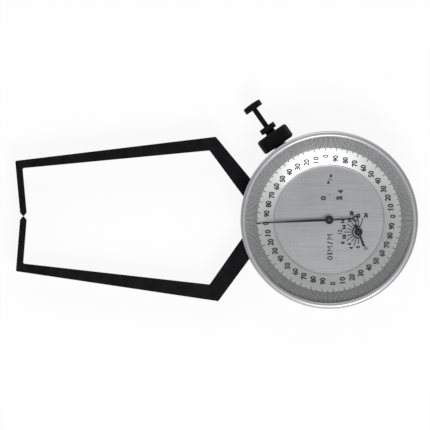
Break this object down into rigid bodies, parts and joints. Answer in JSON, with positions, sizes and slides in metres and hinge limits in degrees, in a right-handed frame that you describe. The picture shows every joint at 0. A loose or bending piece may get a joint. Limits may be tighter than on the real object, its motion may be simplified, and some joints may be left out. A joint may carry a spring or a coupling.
{
  "type": "outside dial caliper gauge",
  "caption": "Outside dial caliper gauge: two black bent arms, the upper one moving, a round dial with rotating bezel, turn counter and a plunger that opens the jaws.",
  "frame": {"origin": "middle of the round back face, on the dial's axis, with the gauge lying on its back", "axes": "+Z along the dial's axis towards the reader, -X towards the jaws, +Y towards the moving arm"},
  "size_m": [0.131, 0.0682, 0.019],
  "materials": {
    "satin_steel": "satin turned",
    "bezel_metal": "satin, finely knurled",
    "arm_black": "black satin",
    "knob_black": "black satin moulding",
    "plunger_black": "blackened",
    "dial_silver": "finely brushed",
    "scale_white": "satin white band, engraved ring",
    "hand_black": "black",
    "brass": "machined",
    "steel": "turned",
    "spring_steel": "polished wire and strip",
    "glass": "clear"
  },
  "bodies": {
    "root": {"case_body": "satin_steel", "back_cover": "satin_steel", "cover_screws": "steel", "base_plate": "brass", "movement_pillars": "brass", "plate_screws": "steel", "arbor_bushes": "brass", "fixed_arm": "arm_black", "fixed_arm_screws": "steel", "fixed_arm_dowels": "steel", "pivot_stud": "steel", "pivot_nut": "steel", "hairspring": "spring_steel", "hairspring_stud": "brass", "spring_post": "steel", "return_spring": "spring_steel", "dial_plate": "dial_silver", "bezel_spring_ring": "spring_steel", "plunger_guide": "plunger_black", "guide_collar": "plunger_black"},
    "moving_arm": {"moving_arm": "arm_black", "hub_bush": "brass", "spring_pin": "steel", "sector_gear": "brass", "sector_screws": "steel"},
    "counter": {"counter_arbor": "steel", "counter_wheel": "brass", "counter_hand": "hand_black"},
    "pointer": {"centre_arbor": "steel", "pointer": "hand_black"},
    "takeup": {"takeup_arbor": "steel", "takeup_wheel": "brass", "hairspring_collet": "brass"},
    "bezel": {"bezel": "bezel_metal", "glass": "glass", "scale_ring": "scale_white", "glass_seat_ring": "satin_steel"},
    "plunger": {"push_rod": "plunger_black", "push_button": "plunger_black", "rod_clip": "spring_steel"},
    "knob": {"clamp_knob": "knob_black"}
  },
  "joints": [
    {"name": "arm_swing", "type": "hinge", "parent": "root", "child": "moving_arm", "pos_m": [-0.01995, 0.00085, 0.0069], "axis": [0, 0, -1], "range_deg": [0, 17.28], "stiffness_Nm_per_rad": 0.05, "springref_deg": -91.67, "deforming": ["return_spring"]},
    {"name": "plunger_slide", "type": "slide", "parent": "root", "child": "plunger", "axis": [0.5736, -0.8192, 0], "range_m": [0, 0.00507]},
    {"name": "counter_turn", "type": "hinge", "parent": "root", "child": "counter", "pos_m": [0.0095, -0.00396, 0.0156], "axis": [0, 0, -1], "range_deg": [0, 216.05]},
    {"name": "pointer_turn", "type": "hinge", "parent": "root", "child": "pointer", "pos_m": [0, 0, 0.0162], "axis": [0, 0, 1], "range_deg": [0, 2160.5]},
    {"name": "takeup_turn", "type": "hinge", "parent": "root", "child": "takeup", "pos_m": [-0.00196, 0.0101, 0.0116], "axis": [0, 0, -1], "range_deg": [0, 216.05], "deforming": ["hairspring"]},
    {"name": "bezel_turn", "type": "hinge", "parent": "root", "child": "bezel", "pos_m": [0, 0, 0.015], "axis": [0, 0, 1], "continuous": true},
    {"name": "knob_turn", "type": "hinge", "parent": "root", "child": "knob", "pos_m": [-0.01713, 0.02585, 0.0069], "axis": [-0.5736, 0.8192, 0], "range_deg": [0, 120]}
  ],
  "couplings": [
    {"joint": "plunger_slide", "follows": "arm_swing", "m_per_rad": 0.016772},
    {"joint": "counter_turn", "follows": "arm_swing", "ratio": 12.5},
    {"joint": "pointer_turn", "follows": "arm_swing", "ratio": 125},
    {"joint": "takeup_turn", "follows": "arm_swing", "ratio": 12.5}
  ]
}
